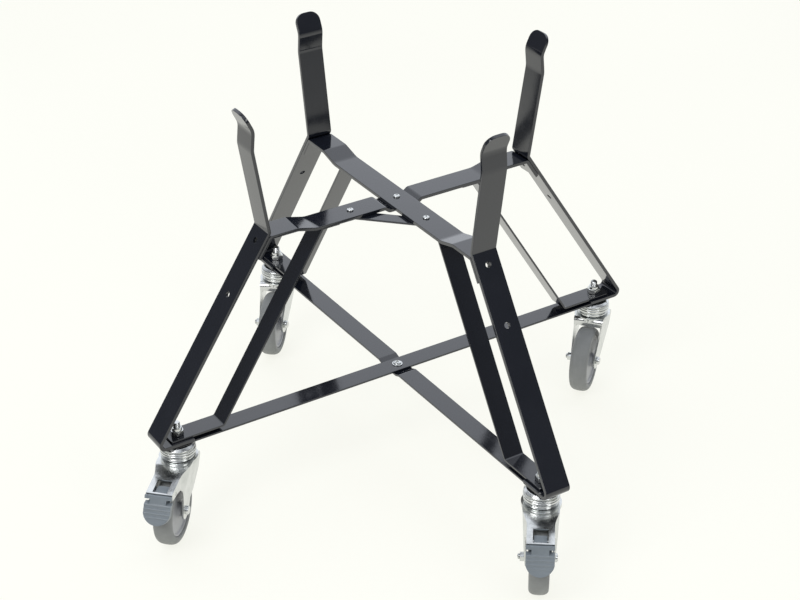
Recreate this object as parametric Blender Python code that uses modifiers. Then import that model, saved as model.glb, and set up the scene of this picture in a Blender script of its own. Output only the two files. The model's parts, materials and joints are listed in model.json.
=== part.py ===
"""Rolling nest for a round ceramic grill.

Bent flat steel bars form two crossed frames, one above the other, with four
upright arms that cradle the grill.  The frame rolls on four swivel casters,
and the two front casters have foot brakes.

Metres, +Z up, +X to the right, the braked casters at the front (-Y).
Each corner is drawn in its own upright plane: r runs outward along the
diagonal from the stand's centre line, z runs up from the floor.
"""
import math

import bmesh
import bpy
from mathutils import Matrix, Vector

MM = 0.001
GAP = 0.3                       # play left between touching pieces, mm

# ---- driving dimensions, millimetres ----
WHEEL_D = 100.0                 # caster wheel
TYRE_W = 27.0                   # width over the tyre
TRAIL = 38.4                    # stem axis to axle, along the floor
STEM_R = 355.6                  # stand centre to caster stem
STEM_D = 10.0
CASTER_TOP = 135.7              # top of the caster's swivel plate
WIDE = (38.0, 5.0)              # wide bar, width x thickness
NARROW = (30.0, 3.0)            # narrow bar, width x thickness
STAND_Y = 35.3                  # centre line's place, so that the whole box is centred on Y

# ---- derived levels ----
BOTTOM_BAR_Z = CASTER_TOP + GAP                       # underside of the lower cross
TAB_Z = BOTTOM_BAR_Z + NARROW[1] + GAP                # underside of the outer leg's foot
FOOT_Z = TAB_Z + WIDE[1] + GAP                        # underside of the inner leg's foot
NUT_Z = FOOT_Z + NARROW[1] + GAP                      # underside of the stem nut
TOP_BAR_Z = 411.4                                     # top face of the upper cross
AXLE_Z = WHEEL_D / 2.0
FORK_TOP = 114.0
RACE_SPLIT = 125.8                                    # between the turning and the fixed race
LEG_SLOPE = 0.655                                     # outward run for each mm of drop
CREASE = (212.5, 424.2)                               # where upright and leg meet
HOLE_D = 8.0

CORNERS = {"fl": 225.0, "fr": 315.0, "br": 45.0, "bl": 135.0}
HEADINGS = {"fl": 270.0, "fr": 278.5, "br": 264.0, "bl": 272.0}
BRAKED = ("fl", "fr")

PAINT = ("black gloss paint", (0.012, 0.013, 0.016), 0.22, 0.0)
ZINC = ("bright zinc", (0.78, 0.79, 0.80), 0.18, 1.0)
RUBBER = ("grey rubber", (0.20, 0.21, 0.205), 0.62, 0.0)
HUB_GREY = ("grey hub plastic", (0.24, 0.25, 0.27), 0.42, 0.0)
PEDAL_GREY = ("grey pedal plastic", (0.21, 0.24, 0.27), 0.45, 0.0)


# ---- scene set-up ----
def clear_scene():
    for obj in list(bpy.data.objects):
        bpy.data.objects.remove(obj, do_unlink=True)


def new_collection(name):
    found = bpy.data.collections.new(name)
    bpy.context.scene.collection.children.link(found)
    return found


clear_scene()
STAND = new_collection("rolling_nest")
CUTTERS = new_collection("cutters")


def material_for(name, look):
    label, colour, roughness, metallic = look
    mat = bpy.data.materials.new(name + " " + label)
    mat.use_nodes = True
    shader = mat.node_tree.nodes["Principled BSDF"]
    shader.inputs["Base Color"].default_value = (*colour, 1.0)
    shader.inputs["Roughness"].default_value = roughness
    shader.inputs["Metallic"].default_value = metallic
    return mat


def add_object(name, mesh, parent, look, location=(0, 0, 0), rotation=(0, 0, 0)):
    """Link a mesh as a named part, placed in millimetres under its parent."""
    obj = bpy.data.objects.new(name, mesh)
    STAND.objects.link(obj)
    obj.parent = parent
    obj.location = Vector(location) * MM
    obj.rotation_euler = rotation
    mesh.materials.append(material_for(name, look))
    return obj


def add_empty(name, parent, location=(0, 0, 0), turn=0.0):
    empty = bpy.data.objects.new(name, None)
    STAND.objects.link(empty)
    empty.parent = parent
    empty.location = Vector(location) * MM
    empty.rotation_euler = (0, 0, math.radians(turn))
    return empty


def mesh_from(bm, name, smooth_angle=None):
    for vert in bm.verts:
        vert.co *= MM
    mesh = bpy.data.meshes.new(name)
    bm.to_mesh(mesh)
    bm.free()
    if smooth_angle is not None:
        mesh.shade_smooth()
        mesh.set_sharp_from_angle(angle=math.radians(smooth_angle))
    return mesh


# ---- cutters ----
def cut(target, cutter_mesh, name, matrix):
    """Subtract a closed mesh, placed by a matrix in metres under the target's parent."""
    cutter = bpy.data.objects.new("cut_" + name, cutter_mesh)
    CUTTERS.objects.link(cutter)
    cutter.parent = target.parent
    cutter.matrix_local = matrix
    cutter.hide_render = True
    cutter.display_type = "WIRE"
    mod = target.modifiers.new("cut_" + name, "BOOLEAN")
    mod.operation = "DIFFERENCE"
    mod.solver = "EXACT"
    mod.object = cutter
    return cutter


def cylinder_mesh(name, diameter, length, sides=12):
    """A round cutter whose flats lie on the stated diameter."""
    bm = bmesh.new()
    radius = diameter / 2.0 / math.cos(math.pi / sides)
    bmesh.ops.create_cone(bm, cap_ends=True, segments=sides, radius1=radius,
                          radius2=radius, depth=length)
    return mesh_from(bm, name)


def drill(target, name, at, diameter, length=40.0, tilt=0.0):
    """Drill a hole; tilt turns its axis from straight up towards +r, in degrees."""
    place = Matrix.Translation(Vector(at) * MM)
    lean = Matrix.Rotation(math.radians(tilt), 4, "Y")
    cut(target, cylinder_mesh(name, diameter, length), name, place @ lean)


# ---- flat bars bent on edge-parallel lines ----
def rounded_path(corners, step=18.0):
    """Points of a bent line: each corner is (r, z, bend radius)."""
    points = []
    last = len(corners) - 1
    for index, (r, z, radius) in enumerate(corners):
        here = Vector((r, z))
        if index in (0, last) or radius <= 0.0:
            points.append(here)
            continue
        before = (Vector(corners[index - 1][:2]) - here).normalized()
        after = (Vector(corners[index + 1][:2]) - here).normalized()
        points.extend(bend_points(here, before, after, radius, step))
    return points


def bend_points(corner, before, after, radius, step):
    """Arc of a bend, tangent to both legs of the corner."""
    turn = math.pi - before.angle(after)
    reach = radius * math.tan(turn / 2.0)
    start = corner + before * reach
    end = corner + after * reach
    centre = corner + (before + after).normalized() * (radius / math.cos(turn / 2.0))
    count = max(2, int(math.degrees(turn) / step + 0.5))
    first = start - centre
    sweep = first.angle_signed(end - centre)
    points = []
    for k in range(count + 1):
        angle = -sweep * k / count
        points.append(centre + Vector((first.x * math.cos(angle) - first.y * math.sin(angle),
                                       first.x * math.sin(angle) + first.y * math.cos(angle))))
    return points


def ribbon(points, width, side, round_start=0.0, round_end=0.0):
    """An open strip along the bent line; its faces look to the given side of the line."""
    bm = bmesh.new()
    row = [bm.verts.new((p.x, p.y, -width / 2.0)) for p in points]
    edges = [bm.edges.new((row[k], row[k + 1])) for k in range(len(row) - 1)]
    grown = bmesh.ops.extrude_edge_only(bm, edges=edges)["geom"]
    moved = [g for g in grown if isinstance(g, bmesh.types.BMVert)]
    bmesh.ops.translate(bm, verts=moved, vec=(0, 0, width))
    bm.normal_update()
    run = points[1] - points[0]
    left = Vector((-run.y, run.x, 0.0))
    first = row[0].link_faces[0]
    if first.normal.dot(left) * side < 0.0:
        bmesh.ops.reverse_faces(bm, faces=bm.faces)
    for radius, end in ((round_start, points[0]), (round_end, points[-1])):
        if radius > 0.0:
            round_corners(bm, end, radius)
    return bm


def round_corners(bm, end, radius):
    tip = [v for v in bm.verts if (v.co.xy - end).length < 0.01]
    bmesh.ops.bevel(bm, geom=tip, offset=radius, segments=4, profile=0.5, affect="VERTICES",
                    clamp_overlap=True)


def flat_bar(name, corners, size, side, parent, turn, round_start=0.0, round_end=0.0):
    """A bent flat bar; the line is one face, and the steel lies on the given side of it."""
    width, thickness = size
    bm = ribbon(rounded_path(corners), width, side, round_start, round_end)
    obj = add_object(name, mesh_from(bm, name, 25.0), parent, PAINT)
    obj.rotation_euler = (math.radians(90.0), 0.0, math.radians(turn))
    solid = obj.modifiers.new("thickness", "SOLIDIFY")
    solid.thickness = thickness * MM
    solid.offset = 1.0
    solid.use_even_offset = True
    return obj


def mirrored(half):
    """A bent line that is the same on both sides of the centre, from one half."""
    return [(-r, z, bend) for r, z, bend in reversed(half)] + list(half)


# ---- the frame ----
def leg_r(z):
    return CREASE[0] + LEG_SLOPE * (CREASE[1] - z)


def offset_r(z, inward):
    """The leg line moved inward by a perpendicular distance."""
    return leg_r(z) - inward * math.hypot(1.0, LEG_SLOPE)


HOLE_TILT = math.degrees(math.atan2(1.0, LEG_SLOPE))


def hole_at(z):
    return (leg_r(z) - 4.0, 0.0, z - 4.0 * LEG_SLOPE)


def outer_leg(tag, stand, turn):
    """Upright arm, long leg and foot: one wide bar."""
    base = TAB_Z
    line = [
        (242.0, 600.0, 0.0),
        (230.0, 575.0, 18.0),
        (232.5, 548.0, 30.0),
        (CREASE[0], CREASE[1], 3.0),
        (leg_r(base), base, 9.5),
        (338.0, base, 0.0),
    ]
    obj = flat_bar("outer_leg_" + tag, line, WIDE, -1, stand, turn, round_start=14.5, round_end=2.0)
    frame = add_empty("outer_leg_guide_" + tag, stand, turn=turn)
    drill_under(obj, frame, "leg_top_" + tag, hole_at(409.0), HOLE_D, HOLE_TILT)
    drill_under(obj, frame, "leg_mid_" + tag, hole_at(340.0), HOLE_D, HOLE_TILT)
    drill_under(obj, frame, "leg_stem_" + tag, (STEM_R, 0.0, base), STEM_D + 2 * GAP, 0.0)
    return obj


def drill_under(target, guide, name, at, diameter, tilt):
    """Drill in the upright plane of a corner, whose guide empty is turned to it."""
    mesh = cylinder_mesh(name, diameter, 24.0)
    place = guide.matrix_basis @ Matrix.Translation(Vector(at) * MM)
    cut(target, mesh, name, place @ Matrix.Rotation(math.radians(tilt), 4, "Y"))


def inner_leg(tag, stand, turn):
    """Narrow brace from under the upper cross down to the foot."""
    top = TOP_BAR_Z - WIDE[1] - GAP
    crease_z = FOOT_Z + NARROW[1]
    line = [
        (100.0, top, 0.0),
        (127.4, top, 5.0),
        (291.8, crease_z, 3.5),
        (371.0, crease_z, 0.0),
    ]
    obj = flat_bar("inner_leg_" + tag, line, NARROW, -1, stand, turn, round_end=2.0)
    frame = add_empty("inner_leg_guide_" + tag, stand, turn=turn)
    drill_under(obj, frame, "foot_stem_" + tag, (STEM_R, 0.0, FOOT_Z), STEM_D + 2 * GAP, 0.0)
    return obj


def top_bar(name, stand, turn, joggle, strap_side):
    """One bar of the upper cross, with a flange down each leg's inner face."""
    z = TOP_BAR_Z
    flange_z = 389.7
    face = WIDE[1] + GAP
    half = [
        (137.0, z, 30.0),
        (166.0, 419.0, 14.0),
        (offset_r(419.0, face), 419.0, 6.0),
        (offset_r(flange_z, face), flange_z, 0.0),
    ]
    if joggle > 0.0:
        half = [(21.5, z - joggle, 3.0), (28.5, z, 6.0)] + half
    obj = flat_bar(name, mirrored(half), WIDE, -1, stand, turn)
    for sign in (1.0, -1.0):
        mesh = cylinder_mesh(name + "_flange_hole", HOLE_D, 24.0)
        guide = Matrix.Rotation(math.radians(turn + (0.0 if sign > 0 else 180.0)), 4, "Z")
        place = guide @ Matrix.Translation(Vector(hole_at(409.0)) * MM)
        cut(obj, mesh, name + "_flange_" + ("a" if sign > 0 else "b"),
            place @ Matrix.Rotation(math.radians(HOLE_TILT), 4, "Y"))
    drill(obj, name + "_centre", (0.0, 0.0, z - 5.0), BOLT_D + 2 * GAP)
    strap_at = (strap_side * STRAP_BOLT, -STRAP_BOLT, z - 5.0)
    drill(obj, name + "_strap", strap_at, BOLT_D + 2 * GAP)
    return obj


def bottom_bar(name, stand, turn, joggle):
    """One bar of the lower cross, which joins two opposite caster stems."""
    z = BOTTOM_BAR_Z + NARROW[1]
    half = [(370.0, z, 0.0)]
    if joggle > 0.0:
        half = [(18.0, z - joggle, 3.0), (26.5, z, 5.0)] + half
    obj = flat_bar(name, mirrored(half), NARROW, -1, stand, turn, round_start=2.0, round_end=2.0)
    drill(obj, name + "_centre", (0.0, 0.0, z - 3.0), BOLT_D + 2 * GAP)
    for sign in (1.0, -1.0):
        guide = Matrix.Rotation(math.radians(turn), 4, "Z")
        mesh = cylinder_mesh(name + "_stem_hole", STEM_D + 2 * GAP, 20.0)
        place = guide @ Matrix.Translation(Vector((sign * STEM_R, 0.0, z)) * MM)
        cut(obj, mesh, name + ("_stem_a" if sign > 0 else "_stem_b"), place)
    return obj


BOLT_D = 6.0
STRAP = (20.0, 3.0)
STRAP_BOLT = 52.9               # sideways and forward of the centre


def lock_strap(stand):
    """Flat strap under the front arms of the upper cross; it keeps the cross square."""
    top = TOP_BAR_Z - WIDE[1] - GAP
    line = [(-66.0, top, 0.0), (66.0, top, 0.0)]
    obj = flat_bar("lock_strap", line, STRAP, -1, stand, 0.0, round_start=9.0, round_end=9.0)
    obj.location = Vector((0.0, -STRAP_BOLT, 0.0)) * MM
    for sign, side in ((-1.0, "left"), (1.0, "right")):
        drill(obj, "strap_" + side, (sign * STRAP_BOLT, -STRAP_BOLT, top), BOLT_D + 2 * GAP, 12.0)
    return obj


# ---- turned pieces ----
def turned(name, profile, parent, look, sides, location=(0, 0, 0), rotation=(0, 0, 0)):
    """Turn a profile of (radius, height) points, listed from top to bottom, about Z."""
    bm = bmesh.new()
    verts = [bm.verts.new((radius, 0.0, height)) for radius, height in profile]
    for k in range(len(verts) - 1):
        bm.edges.new((verts[k], verts[k + 1]))
    if profile[0][0] > 0.001:
        bm.edges.new((verts[-1], verts[0]))
    obj = add_object(name, mesh_from(bm, name), parent, look, location, rotation)
    screw = obj.modifiers.new("turn", "SCREW")
    screw.angle = math.radians(360.0)
    screw.steps = sides
    screw.render_steps = sides
    screw.use_merge_vertices = True
    screw.merge_threshold = 0.00001
    screw.use_smooth_shade = True
    return obj


def screw_head(profile, head_z, shank_end, radius):
    """A head profile on the axis, followed by its shank."""
    line = [(0.0, head_z + profile[0][1])]
    line += [(r, head_z + h) for r, h in profile]
    line += [(radius, head_z), (radius, shank_end), (0.0, shank_end)]
    return line


def strap_screw(name, stand, at, shank_end):
    head = [(2.4, 2.9), (4.0, 2.2), (4.75, 1.0), (4.75, 0.0)]
    z = TOP_BAR_Z + GAP
    line = screw_head(head, z, shank_end, BOLT_D / 2.0)
    return turned(name, line, stand, ZINC, 12, location=(at[0], at[1], 0.0))


def hex_nut(name, parent, look, across, height, bore, at, rotation=(0, 0, 0)):
    """Hexagon nut: a six-sided prism with a round bore."""
    bm = bmesh.new()
    radius = across / 2.0 / math.cos(math.radians(30.0))
    bmesh.ops.create_cone(bm, cap_ends=True, segments=6, radius1=radius, radius2=radius,
                          depth=height)
    bmesh.ops.translate(bm, verts=bm.verts, vec=(0, 0, height / 2.0))
    obj = add_object(name, mesh_from(bm, name, 25.0), parent, look, at, rotation)
    place = obj.matrix_basis @ Matrix.Translation((0, 0, height / 2.0 * MM))
    cut(obj, cylinder_mesh(name + "_bore", bore, height * 3.0), name + "_bore", place)
    return obj


def frame_hardware(stand):
    """Screws and nuts of the two crosses."""
    under = TOP_BAR_Z - 2 * WIDE[1] - GAP
    strap_under = TOP_BAR_Z - WIDE[1] - GAP - STRAP[1]
    strap_screw("cross_screw", stand, (0.0, 0.0), under - 6.5)
    hex_nut("cross_nut", stand, ZINC, 10.0, 5.0, BOLT_D + GAP, (0, 0, under - 5.0 - GAP))
    for sign, side in ((-1.0, "left"), (1.0, "right")):
        at = (sign * STRAP_BOLT, -STRAP_BOLT)
        strap_screw("strap_screw_" + side, stand, at, strap_under - 6.5)
        nut_at = (at[0], at[1], strap_under - 5.0 - GAP)
        hex_nut("strap_nut_" + side, stand, ZINC, 10.0, 5.0, BOLT_D + GAP, nut_at)
    lower_top = BOTTOM_BAR_Z + NARROW[1] + GAP
    lower_under = BOTTOM_BAR_Z - NARROW[1] - GAP
    head = [(3.0, 2.9), (3.4, 3.9), (5.6, 3.3), (7.0, 1.8), (7.5, 0.0)]
    line = screw_head(head, lower_top, lower_under - 6.5, BOLT_D / 2.0)
    turned("lower_screw", line, stand, ZINC, 16)
    hex_nut("lower_nut", stand, ZINC, 10.0, 5.0, BOLT_D + GAP, (0, 0, lower_under - 5.0 - GAP))


# ---- casters: x runs forward from the stem towards the axle, z up from the floor ----
def fork_half_width(x, z):
    """Half the width over the fork's side plates, which lean in to the axle and the hood's lip."""
    return 24.2 - 0.067 * x - 0.035 * (FORK_TOP - z)


def plate_prism(points, inset):
    """A side outline spread to the fork's width, less an inset on each side."""
    bm = bmesh.new()
    verts = [bm.verts.new((x, -1.0, z)) for x, z in points]
    face = bm.faces.new(verts)
    grown = bmesh.ops.extrude_face_region(bm, geom=[face])["geom"]
    moved = [g for g in grown if isinstance(g, bmesh.types.BMVert)]
    bmesh.ops.translate(bm, verts=moved, vec=(0, 2.0, 0))
    for vert in bm.verts:
        vert.co.y *= fork_half_width(vert.co.x, vert.co.z) - inset
    bmesh.ops.recalc_face_normals(bm, faces=bm.faces)
    return bm


def arc(cx, cz, radius, start, end, count):
    """Points round a centre, from one angle to another, in degrees."""
    points = []
    for k in range(count + 1):
        angle = math.radians(start + (end - start) * k / count)
        points.append((cx + radius * math.cos(angle), cz + radius * math.sin(angle)))
    return points


AXLE_EYE = 13.0
SHEET = 2.5
LIP = 85.0                      # front edge of a braked fork's hood


def plain_outline():
    """Side view of a plain fork, from the rear of its top round to the front."""
    eye = arc(TRAIL, AXLE_Z, AXLE_EYE, 205.0, 370.0, 8)
    return [(26.0, FORK_TOP), (-20.0, FORK_TOP), (-20.0, 103.0), (-15.0, 90.0),
            (6.0, 66.0)] + eye + [(48.0, 66.0), (27.5, 98.0), (27.5, 112.5)]


def braked_outline():
    """Side view of a braked fork, whose hood reaches forward over the wheel."""
    eye = arc(TRAIL, AXLE_Z, AXLE_EYE, 200.0, 360.0, 8)
    return [(26.0, FORK_TOP), (-20.0, FORK_TOP), (-20.0, 103.0), (-15.0, 88.0), (8.0, 66.0),
            (22.0, 60.0)] + eye + [(51.4, 90.0), (55.0, 94.5), (LIP, 97.0), (LIP, 107.0)]


def box_mesh(name, low, high):
    bm = bmesh.new()
    bmesh.ops.create_cube(bm, size=1.0)
    centre = (Vector(low) + Vector(high)) / 2.0
    size = Vector([abs(b - a) for a, b in zip(low, high)])
    for vert in bm.verts:
        vert.co = Vector((vert.co.x * size.x, vert.co.y * size.y, vert.co.z * size.z)) + centre
    return mesh_from(bm, name)


def arch_cutter(name):
    """Opening between the side plates of a plain fork, arched over the tyre."""
    bm = plate_prism([(80.0, 101.5), (-40.0, 101.5), (-40.0, 20.0), (80.0, 20.0)], SHEET)
    top = [e for e in bm.edges if all(v.co.z > 100.0 for v in e.verts)
           and abs(e.verts[0].co.y - e.verts[1].co.y) < 8.0]
    bmesh.ops.bevel(bm, geom=top, offset=9.0, segments=3, profile=0.5, affect="EDGES")
    return mesh_from(bm, name)


def plain_fork(tag, caster):
    name = "fork_" + tag
    bm = plate_prism(plain_outline(), 0.0)
    obj = add_object(name, mesh_from(bm, name, 25.0), caster, ZINC)
    here = Matrix.Identity(4)
    cut(obj, arch_cutter(name + "_arch"), name + "_arch", here)
    pocket = box_mesh(name + "_pocket", (-17.5, -21.0, 95.0), (21.5, 21.0, FORK_TOP - SHEET))
    cut(obj, pocket, name + "_pocket", here)
    bore_fork(obj, name)
    return obj


def braked_fork(tag, caster):
    name = "fork_" + tag
    bm = plate_prism(braked_outline(), 0.0)
    obj = add_object(name, mesh_from(bm, name, 25.0), caster, ZINC)
    here = Matrix.Identity(4)
    roof = FORK_TOP - SHEET
    inside = [(26.0, roof), (-17.5, roof), (-17.5, 100.0), (-40.0, 98.0), (-40.0, 20.0),
              (100.0, 20.0), (100.0, 102.7), (LIP, 104.5)]
    cut(obj, mesh_from(plate_prism(inside, SHEET), name + "_inside"), name + "_inside", here)
    window = box_mesh(name + "_window", (57.0, -10.2, 95.0), (LIP - 2.5, 10.2, 120.0))
    cut(obj, window, name + "_window", here)
    bore_fork(obj, name)
    across = Matrix.Rotation(math.radians(90.0), 4, "X")
    pin = Matrix.Translation(Vector((PIVOT[0], 0.0, PIVOT[1])) * MM) @ across
    cut(obj, cylinder_mesh(name + "_pin_hole", PIN_D + 2 * GAP, 80.0, 12), name + "_pin", pin)
    return obj


def bore_fork(obj, name):
    """Holes for the race's hollow rivet and for the axle."""
    top = Matrix.Translation((0.0, 0.0, FORK_TOP * MM))
    cut(obj, cylinder_mesh(name + "_rivet_hole", RIVET_D + 2 * GAP, 12.0), name + "_rivet", top)
    across = Matrix.Rotation(math.radians(90.0), 4, "X")
    axle = Matrix.Translation(Vector((TRAIL, 0.0, AXLE_Z)) * MM) @ across
    cut(obj, cylinder_mesh(name + "_axle_hole", AXLE_D + 2 * GAP, 80.0), name + "_axle", axle)


LEAN_PLAY = 0.8                 # clears the leaning side plates under the axle's head and nut
RIVET_D = 14.0
AXLE_D = 8.0
PIN_D = 4.0
PIVOT = (70.0, 99.5)            # brake pedal pin: forward of the stem, height


def stem_nut(tag, caster):
    return hex_nut("stem_nut_" + tag, caster, ZINC, 17.0, 8.0, STEM_D + GAP, (0, 0, NUT_Z))


def stem(tag, caster):
    """Threaded stem with the fixed upper race plate."""
    low = RACE_SPLIT + GAP
    end = FORK_TOP - SHEET - 2.0
    line = [(0.0, 167.0), (4.2, 167.0), (STEM_D / 2, 165.8), (STEM_D / 2, CASTER_TOP),
            (22.8, CASTER_TOP), (24.5, 134.2), (24.5, 131.4), (22.6, 130.2), (24.9, 128.8),
            (24.9, low), (RIVET_D / 2, low), (RIVET_D / 2, end), (0.0, end)]
    return turned("stem_" + tag, line, caster, ZINC, 16)


def race(tag, caster):
    """Turning lower race, on top of the fork."""
    bore = RIVET_D / 2 + GAP
    low = FORK_TOP + GAP
    line = [(bore, RACE_SPLIT), (24.9, RACE_SPLIT), (24.9, 122.0), (22.8, 120.4), (24.0, 119.0),
            (24.0, 116.0), (22.4, low), (bore, low)]
    return turned("race_" + tag, line, caster, ZINC, 16)


def axle(tag, caster):
    """Axle bolt with a round head on one side and a thread end on the other."""
    half = fork_half_width(TRAIL, AXLE_Z) + LEAN_PLAY
    line = [(0.0, half + 4.0), (4.6, half + 4.0), (6.2, half + 2.6), (6.2, half), (AXLE_D / 2, half),
            (AXLE_D / 2, -half - 9.0), (0.0, -half - 9.0)]
    return turned("axle_" + tag, line, caster, ZINC, 12, location=(TRAIL, 0, AXLE_Z),
                  rotation=(math.radians(-90.0), 0, 0))


def axle_nut(tag, caster):
    half = fork_half_width(TRAIL, AXLE_Z) + LEAN_PLAY
    return hex_nut("axle_nut_" + tag, caster, ZINC, 12.0, 6.0, AXLE_D + GAP,
                   (TRAIL, -half, AXLE_Z), (math.radians(90.0), 0, 0))


def hub(tag, caster):
    """Dished wheel centre with bearing bosses, turned like the tyre to keep an even gap."""
    bore = AXLE_D / 2 + GAP
    half = [(bore, 15.4), (9.5, 15.4), (11.0, 10.5), (31.0, 8.5), (37.5, 11.2)]
    line = half + [(r, -h) for r, h in reversed(half)]
    return turned("hub_" + tag, line, caster, HUB_GREY, WHEEL_SIDES, location=(TRAIL, 0, AXLE_Z),
                  rotation=WHEEL_TURN)


WHEEL_SIDES = 24
WHEEL_TURN = (math.radians(90.0), math.radians(180.0 / WHEEL_SIDES), 0.0)


def tyre(tag, caster):
    """Rubber tyre with rounded shoulders; it stands on one of its flats."""
    inner = 37.5 + GAP
    outer = WHEEL_D / 2.0 / math.cos(math.pi / WHEEL_SIDES)
    side = TYRE_W / 2.0
    half = [(inner, side - 2.5), (40.0, side - 0.3), (45.5, side - 0.6), (48.6, side - 4.2),
            (outer, side - 10.0)]
    line = half + [(r, -h) for r, h in reversed(half)]
    return turned("tyre_" + tag, line, caster, RUBBER, WHEEL_SIDES, location=(TRAIL, 0, AXLE_Z),
                  rotation=WHEEL_TURN)


def pedal(tag, caster):
    """Foot brake: a block in the hood, a necked housing and a round-ended tread."""
    name = "brake_pedal_" + tag
    half_width = 18.9
    side = [(62.0, 104.4), (84.5, 103.4), (86.2, 105.4), (89.0, 105.4), (92.5, 97.5),
            (96.5, 90.5), (110.8, 68.8), (108.5, 66.0), (105.5, 65.6), (93.0, 84.0),
            (88.0, 92.5), (73.0, 95.0), (62.0, 98.0)]
    bm = bmesh.new()
    verts = [bm.verts.new((x, -half_width, z)) for x, z in side]
    face = bm.faces.new(verts)
    grown = bmesh.ops.extrude_face_region(bm, geom=[face])["geom"]
    moved = [g for g in grown if isinstance(g, bmesh.types.BMVert)]
    bmesh.ops.translate(bm, verts=moved, vec=(0, 2 * half_width, 0))
    bmesh.ops.recalc_face_normals(bm, faces=bm.faces)
    obj = add_object(name, mesh_from(bm, name, 25.0), caster, PEDAL_GREY)
    here = Matrix.Identity(4)
    for sign, word in ((1.0, "a"), (-1.0, "b")):
        shoulder = box_mesh(name + "_side", (40.0, sign * 15.0, 85.0), (86.0, sign * 30.0, 110.0))
        cut(obj, shoulder, name + "_side_" + word, here)
        notch = box_mesh(name + "_notch", (87.6, sign * 12.0, 96.6), (110.0, sign * 30.0, 101.8))
        cut(obj, notch, name + "_notch_" + word, here)
    tread_ends(obj, name, half_width)
    across = Matrix.Rotation(math.radians(90.0), 4, "X")
    pin = Matrix.Translation(Vector((PIVOT[0], 0.0, PIVOT[1])) * MM) @ across
    cut(obj, cylinder_mesh(name + "_pin_hole", PIN_D + 2 * GAP, 80.0, 12), name + "_pin", pin)
    return obj


TREAD_TOP = (98.5, 87.5)        # forward, height: middle of the tread's round end


def tread_ends(obj, name, half_width):
    """Trim the tread's free end to a round outline, square to its slope."""
    slope = math.atan2(21.7, 14.3)
    bm = bmesh.new()
    bmesh.ops.create_cone(bm, cap_ends=True, segments=32, radius1=half_width + 0.4,
                          radius2=half_width + 0.4, depth=60.0)
    keep = mesh_from(bm, name + "_round")
    bm = bmesh.new()
    bmesh.ops.create_cube(bm, size=1.0)
    for vert in bm.verts:
        vert.co = Vector((vert.co.x * 60.0 + 30.0, vert.co.y * 80.0, vert.co.z * 50.0))
    trim = bpy.data.objects.new("cut_" + name + "_trim", mesh_from(bm, name + "_trim"))
    CUTTERS.objects.link(trim)
    trim.parent = obj.parent
    trim.hide_render = True
    trim.display_type = "WIRE"
    turn = Matrix.Rotation(slope, 4, "Y")
    trim.matrix_local = Matrix.Translation(Vector((*TREAD_TOP, 0.0)).xzy * MM) @ turn
    disc = bpy.data.objects.new("cut_" + name + "_disc", keep)
    CUTTERS.objects.link(disc)
    disc.parent = obj.parent
    disc.hide_render = True
    disc.display_type = "WIRE"
    disc.matrix_local = Matrix.Translation(Vector((*TREAD_TOP, 0.0)).xzy * MM) @ turn
    inner = trim.modifiers.new("round", "BOOLEAN")
    inner.operation = "DIFFERENCE"
    inner.solver = "EXACT"
    inner.object = disc
    mod = obj.modifiers.new("trim", "BOOLEAN")
    mod.operation = "DIFFERENCE"
    mod.solver = "EXACT"
    mod.object = trim


def pedal_pin(tag, caster):
    half = fork_half_width(*PIVOT) - 0.4
    line = [(0.0, half), (PIN_D / 2, half), (PIN_D / 2, -half), (0.0, -half)]
    return turned("brake_pin_" + tag, line, caster, ZINC, 12, location=(PIVOT[0], 0, PIVOT[1]),
                  rotation=(math.radians(90.0), 0, 0))


def caster(tag, stand):
    angle = math.radians(CORNERS[tag])
    at = (STEM_R * math.cos(angle), STEM_R * math.sin(angle), 0.0)
    base = add_empty("caster_" + tag, stand, at, HEADINGS[tag])
    stem_nut(tag, base)
    stem(tag, base)
    race(tag, base)
    if tag in BRAKED:
        braked_fork(tag, base)
        pedal(tag, base)
        pedal_pin(tag, base)
    else:
        plain_fork(tag, base)
    axle(tag, base)
    axle_nut(tag, base)
    hub(tag, base)
    tyre(tag, base)


def build():
    stand = add_empty("stand_centre", None, (0.0, STAND_Y, 0.0))
    for tag, turn in CORNERS.items():
        outer_leg(tag, stand, turn)
        inner_leg(tag, stand, turn)
        caster(tag, stand)
    top_bar("top_bar_over", stand, CORNERS["fr"], 0.0, 1.0)
    top_bar("top_bar_under", stand, CORNERS["br"], WIDE[1] + GAP, -1.0)
    bottom_bar("bottom_bar_over", stand, CORNERS["br"], 0.0)
    bottom_bar("bottom_bar_under", stand, CORNERS["fr"], NARROW[1] + GAP)
    lock_strap(stand)
    frame_hardware(stand)
    bpy.context.view_layer.update()


build()
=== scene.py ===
import json
import math

import bmesh
import bpy
from mathutils import Matrix, Vector


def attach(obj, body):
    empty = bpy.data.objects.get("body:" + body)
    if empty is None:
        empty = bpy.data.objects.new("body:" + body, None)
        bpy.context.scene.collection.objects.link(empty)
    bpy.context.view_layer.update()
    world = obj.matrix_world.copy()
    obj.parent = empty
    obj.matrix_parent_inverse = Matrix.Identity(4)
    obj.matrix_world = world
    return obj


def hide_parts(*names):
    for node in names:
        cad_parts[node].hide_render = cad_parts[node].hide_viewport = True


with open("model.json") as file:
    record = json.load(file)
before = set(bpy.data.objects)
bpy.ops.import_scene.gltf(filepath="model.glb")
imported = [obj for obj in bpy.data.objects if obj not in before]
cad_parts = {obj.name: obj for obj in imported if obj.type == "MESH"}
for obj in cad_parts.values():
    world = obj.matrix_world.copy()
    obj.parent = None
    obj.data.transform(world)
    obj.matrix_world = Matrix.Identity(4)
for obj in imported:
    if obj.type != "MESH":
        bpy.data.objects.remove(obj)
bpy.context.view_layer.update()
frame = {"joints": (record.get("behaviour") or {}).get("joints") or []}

MM = 0.001
CORNERS = {"fl": 225.0, "fr": 315.0, "br": 45.0, "bl": 135.0}
BRAKED = ("fl", "fr")
JOINTS = {joint["name"]: joint for joint in frame["joints"]}

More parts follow.
